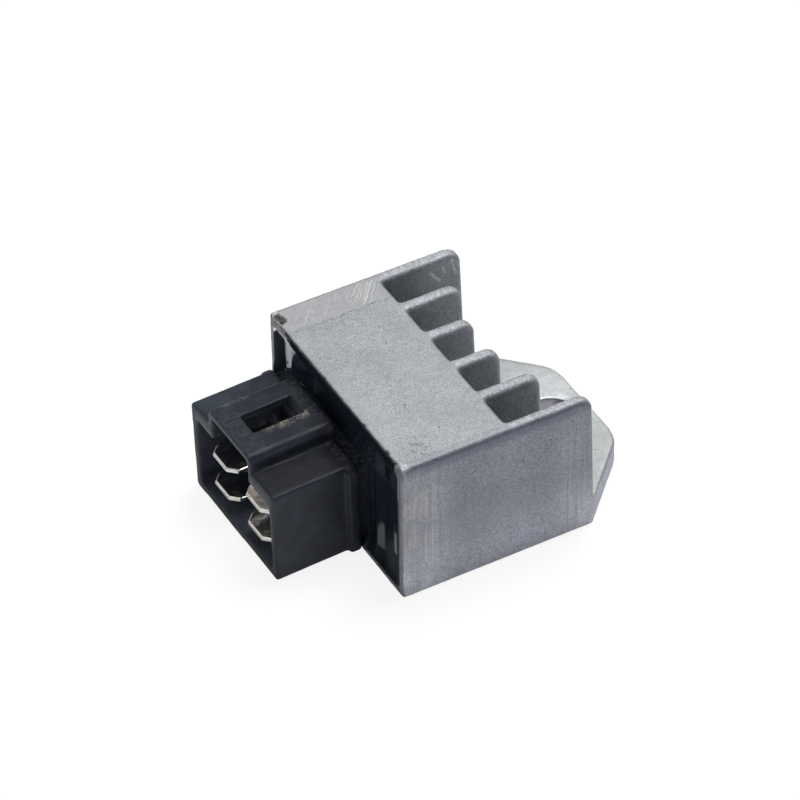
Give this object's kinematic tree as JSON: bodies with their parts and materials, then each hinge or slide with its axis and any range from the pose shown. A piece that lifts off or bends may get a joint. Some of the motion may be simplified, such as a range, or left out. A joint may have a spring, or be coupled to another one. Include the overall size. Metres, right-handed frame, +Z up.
{
  "type": "voltage regulator rectifier",
  "caption": "Small potted voltage regulator rectifier: a finned cast aluminium heat sink with a mounting tab, and a latching plug-in connector with flat blade terminals.",
  "frame": {"origin": "middle of the overall length and width, on the flat underside that bolts to the frame of the vehicle", "axes": "+X from the connector's mouth towards the mounting tab, +Z up from the flat underside, +Y to the left when looking along +X"},
  "size_m": [0.0536, 0.0368, 0.0235],
  "materials": {
    "cast_aluminium": "blasted casting with linished sides",
    "connector_plastic": "black moulded, scuffed",
    "potting_resin": "black poured resin, glossy",
    "tinned_brass": "tinned, bare brass on the cut edges",
    "board_laminate": "satin",
    "package_plastic": "matte",
    "silicone_pad": "matte",
    "diode_glass": "glossy",
    "resistor_lacquer": "satin",
    "capacitor_sleeve": "satin"
  },
  "bodies": {
    "root": {"heatsink_housing": "cast_aluminium", "connector_shell": "connector_plastic", "blade_upper_far": "tinned_brass", "blade_upper_near": "tinned_brass", "blade_lower_far": "tinned_brass", "blade_lower_near": "tinned_brass", "potting_compound": "potting_resin", "circuit_board": "board_laminate", "thyristor_1": "package_plastic", "thyristor_2": "package_plastic", "insulating_pad_1": "silicone_pad", "insulating_pad_2": "silicone_pad", "rectifier_diode_1": "package_plastic", "rectifier_diode_2": "package_plastic", "zener_diode_1": "diode_glass", "zener_diode_2": "diode_glass", "resistor_1": "resistor_lacquer", "resistor_2": "resistor_lacquer", "resistor_3": "resistor_lacquer", "resistor_4": "resistor_lacquer", "capacitor": "capacitor_sleeve"}
  },
  "joints": []
}
